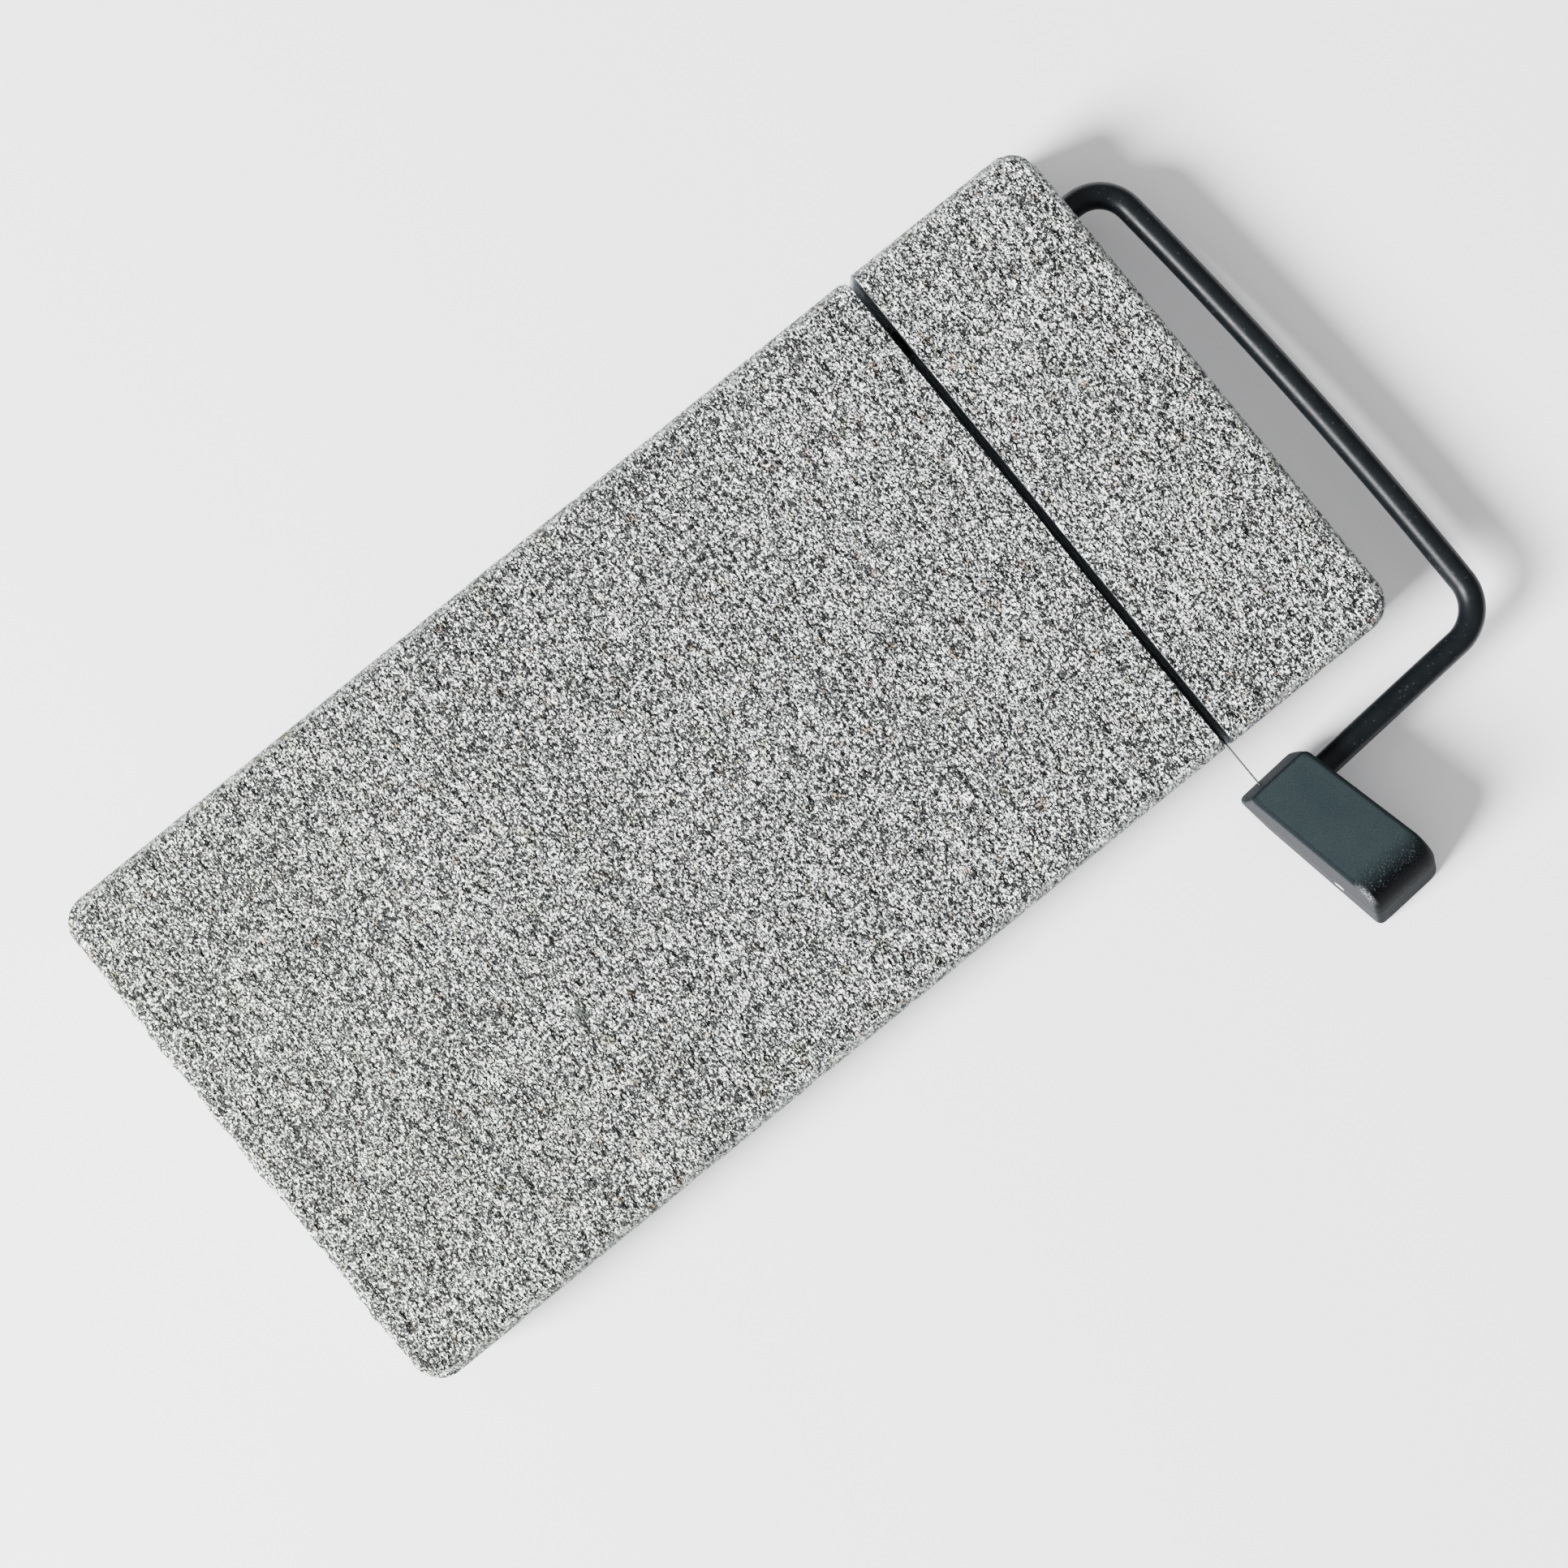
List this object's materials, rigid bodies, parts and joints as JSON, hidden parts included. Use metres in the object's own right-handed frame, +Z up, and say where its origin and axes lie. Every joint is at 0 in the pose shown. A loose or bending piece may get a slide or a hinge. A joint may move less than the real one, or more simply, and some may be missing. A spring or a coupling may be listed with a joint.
{
  "type": "granite cheese slicer",
  "caption": "Speckled grey granite slab with rounded edges, slotted across near one end, and a black steel-rod wire bow with a moulded plastic handle, hinged in the slab's end face.",
  "frame": {"origin": "centre of the whole part's bounding box, on the plane that the feet stand on", "axes": "+X along the slab towards the bow, +Y across the slab towards the hinge side, +Z up"},
  "size_m": [0.2678, 0.1722, 0.0181],
  "materials": {
    "granite": "honed, fine black and white speckle, rounded edges",
    "powder_coat": "satin black powder coat on steel rod",
    "handle_plastic": "fine spark-eroded matte texture",
    "wire": "drawn stainless wire",
    "zinc": "dull zinc plating",
    "nylon": "natural nylon",
    "rubber": "matte rubber"
  },
  "bodies": {
    "board": {"granite_slab": "granite", "pivot_sleeve": "nylon", "rubber_foot_1": "rubber", "rubber_foot_2": "rubber", "rubber_foot_3": "rubber", "rubber_foot_4": "rubber"},
    "bow": {"bow_rod": "powder_coat", "cutting_wire": "wire", "pivot_ferrule": "zinc", "handle_ferrule": "zinc", "handle_upper_shell": "handle_plastic", "handle_lower_shell": "handle_plastic", "handle_screw_1": "zinc", "handle_screw_2": "zinc"}
  },
  "joints": [
    {"name": "bow_swing", "type": "hinge", "parent": "board", "child": "bow", "pos_m": [0.07179, 0.06954, 0.0105], "axis": [-1, 0, 0], "range_deg": [0, 178]}
  ]
}
